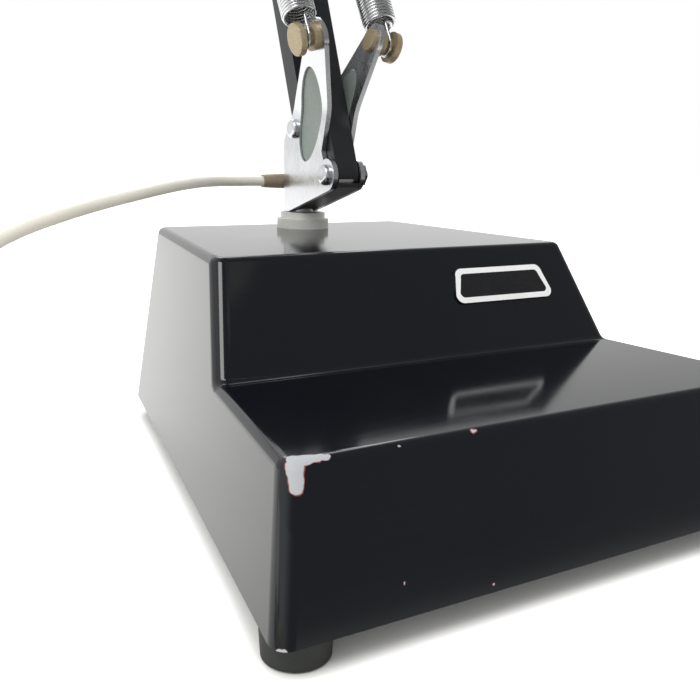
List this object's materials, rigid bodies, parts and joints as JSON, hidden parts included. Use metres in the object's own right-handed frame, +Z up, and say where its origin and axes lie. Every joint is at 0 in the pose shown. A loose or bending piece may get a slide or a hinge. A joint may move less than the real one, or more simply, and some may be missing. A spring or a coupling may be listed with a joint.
{
  "type": "desk lamp",
  "caption": "Spring-balanced double-bar desk lamp on a heavy stepped black base, with a swivelling fork, jointed arms, tilting shade and mains cord.",
  "frame": {"origin": "on the table under the middle of the lamp as it stands, halfway between its foremost and rearmost points", "axes": "+Z up, -Y towards the front of the base (the side with the step and the badge), +X to the right seen from the front"},
  "size_m": [0.364, 0.4488, 0.5052],
  "materials": {
    "black_enamel": "semi-gloss black enamel",
    "bar_black": "satin slate black paint",
    "plate_steel": "plain galvanised",
    "ballast_iron": "rough cast",
    "rubber_black": "matt",
    "zinc_steel": "zinc plated",
    "chrome_plate": "bright plated",
    "tan_pin": "yellow passivated",
    "spring_steel": "bright drawn wire",
    "pale_nylon": "moulded",
    "white_nylon": "moulded",
    "inlay_grey": "matt sheet",
    "cord_cream": "soft sheath",
    "relief_brown": "soft moulded",
    "badge_black": "black lacquer with a pale line",
    "plug_cream": "moulded",
    "brass_bare": "bright",
    "black_plastic": "moulded",
    "terminal_white": "moulded",
    "bulb_clear": "frosted"
  },
  "bodies": {
    "base": {"base_cover": "black_enamel", "bottom_plate": "plate_steel", "ballast_weight": "ballast_iron", "ballast_bolts": "zinc_steel", "rubber_feet": "rubber_black", "foot_screws": "zinc_steel", "badge_plate": "badge_black", "swivel_bush": "pale_nylon", "bush_nut": "zinc_steel", "cord_elbow": "zinc_steel", "strain_relief": "relief_brown", "terminal_block": "terminal_white", "mains_cord": "cord_cream", "cord_coil": "cord_cream", "cord_tie": "black_plastic", "plug_body": "plug_cream", "plug_pins": "brass_bare"},
    "fork": {"spindle": "zinc_steel", "spindle_clip": "zinc_steel", "fork_block": "black_plastic", "fork_rivets": "chrome_plate", "left_fork_plate": "chrome_plate", "right_fork_plate": "chrome_plate", "oval_inlays": "inlay_grey", "fork_bolts": "chrome_plate", "fork_nuts": "zinc_steel", "spring_pins": "tan_pin", "lower_springs": "spring_steel"},
    "lower_bar": {"lower_front_bar": "bar_black", "lower_front_bushes": "white_nylon", "lower_cross_pin": "tan_pin"},
    "lower_link": {"lower_rear_bar": "bar_black", "lower_rear_bushes": "white_nylon", "lower_lead": "cord_cream"},
    "elbow": {"elbow_plates": "chrome_plate", "elbow_bolts": "chrome_plate", "elbow_nuts": "zinc_steel", "elbow_spring_pins": "tan_pin", "upper_springs": "spring_steel"},
    "upper_bar": {"upper_main_bar": "bar_black", "upper_main_bushes": "white_nylon", "upper_cross_pin": "tan_pin"},
    "upper_link": {"upper_link_bar": "bar_black", "upper_link_bushes": "white_nylon", "upper_lead": "cord_cream"},
    "head_bracket": {"head_plates": "chrome_plate", "head_bolts": "chrome_plate", "head_nuts": "zinc_steel", "tilt_bolt": "chrome_plate", "tilt_knob": "black_plastic"},
    "head": {"holder_cap": "black_enamel", "shade": "black_enamel", "shade_ring": "black_plastic", "lampholder": "black_plastic", "bulb_glass": "bulb_clear", "bulb_cap": "brass_bare", "switch_body": "black_plastic"},
    "switch": {"switch_button": "black_plastic"}
  },
  "joints": [
    {"name": "swivel", "type": "hinge", "parent": "base", "child": "fork", "pos_m": [0, 0.1095, 0.0935], "axis": [0, 0, 1], "range_deg": [-65, 95]},
    {"name": "lower_arm", "type": "hinge", "parent": "fork", "child": "lower_bar", "pos_m": [0, 0.0735, 0.1111], "axis": [1, 0, 0], "range_deg": [-12, 65], "deforming": ["lower_springs"]},
    {"name": "lower_link_turn", "type": "hinge", "parent": "fork", "child": "lower_link", "pos_m": [0, 0.1033, 0.1294], "axis": [1, 0, 0], "range_deg": [-12, 65]},
    {"name": "elbow_level", "type": "hinge", "parent": "lower_bar", "child": "elbow", "pos_m": [0, 0.18541, 0.37864], "axis": [1, 0, 0], "range_deg": [-65, 12]},
    {"name": "upper_arm", "type": "hinge", "parent": "elbow", "child": "upper_bar", "pos_m": [0, 0.17741, 0.40864], "axis": [1, 0, 0], "range_deg": [-45, 50], "deforming": ["upper_springs"]},
    {"name": "upper_link_turn", "type": "hinge", "parent": "elbow", "child": "upper_link", "pos_m": [0, 0.18441, 0.42964], "axis": [1, 0, 0], "range_deg": [-45, 50]},
    {"name": "head_level", "type": "hinge", "parent": "upper_bar", "child": "head_bracket", "pos_m": [0, -0.13559, 0.47517], "axis": [1, 0, 0], "range_deg": [-50, 45]},
    {"name": "head_tilt", "type": "hinge", "parent": "head_bracket", "child": "head", "pos_m": [0, -0.15959, 0.46917], "axis": [1, 0, 0], "range_deg": [-75, 30]},
    {"name": "switch_push", "type": "slide", "parent": "head", "child": "switch", "axis": [0, 1, 0], "range_m": [0, 0.0025], "stiffness_N_per_m": 300, "springref_m": -0.001}
  ],
  "couplings": [
    {"joint": "lower_link_turn", "follows": "lower_arm", "ratio": 1},
    {"joint": "elbow_level", "follows": "lower_arm", "ratio": -1},
    {"joint": "upper_link_turn", "follows": "upper_arm", "ratio": 1},
    {"joint": "head_level", "follows": "upper_arm", "ratio": -1}
  ]
}
